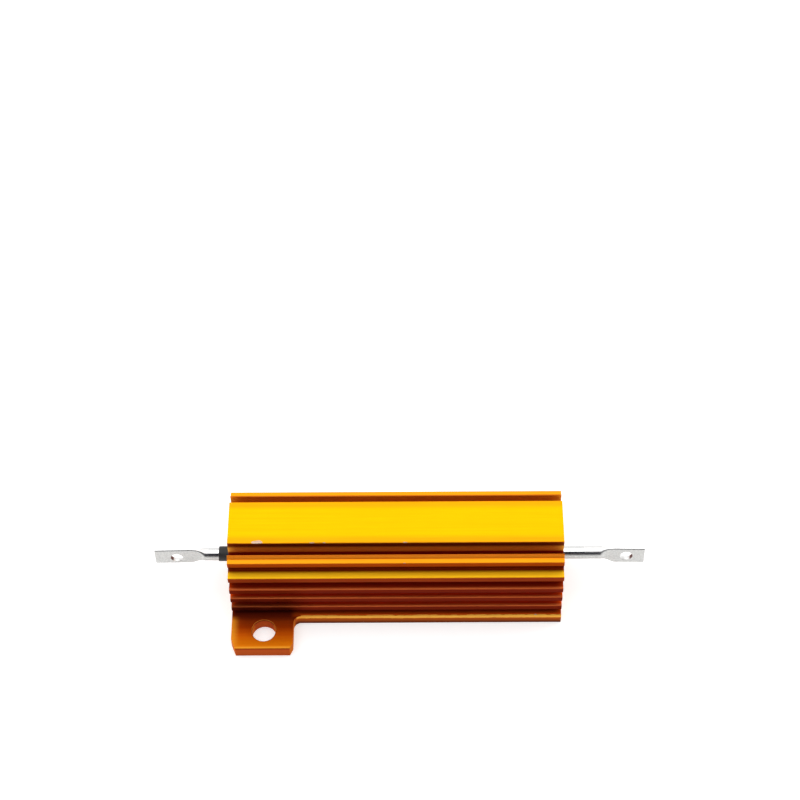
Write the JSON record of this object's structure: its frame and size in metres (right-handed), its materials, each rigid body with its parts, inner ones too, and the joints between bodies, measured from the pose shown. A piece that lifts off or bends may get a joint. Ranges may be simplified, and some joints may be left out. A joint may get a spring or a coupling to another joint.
{
  "type": "aluminium housed power resistor",
  "caption": "Wirewound power resistor in a finned gold anodised aluminium extrusion, with diagonal mounting ears and a flat pierced solder terminal at each end.",
  "frame": {"origin": "on the mounting face, midway between the two fixing holes", "axes": "+X along the extrusion towards the longer terminal, +Z away from the mounting face, the left ear towards -Y"},
  "size_m": [0.0746, 0.0278, 0.0155],
  "materials": {
    "gold_anodised_aluminium": "gold dyed anodised extrusion, satin",
    "ceramic": "unglazed",
    "resistance_alloy": "drawn wire",
    "plated_steel": "plated, bright",
    "tinned_wire": "tinned, satin",
    "filling_compound": "matt",
    "black_compound": "matt"
  },
  "bodies": {
    "root": {"housing": "gold_anodised_aluminium", "ceramic_core": "ceramic", "resistance_winding": "resistance_alloy", "end_cap_left": "plated_steel", "end_cap_right": "plated_steel", "terminal_left": "tinned_wire", "terminal_right": "tinned_wire", "insulating_filling": "filling_compound", "end_seal_left": "black_compound", "end_seal_right": "black_compound"}
  },
  "joints": []
}
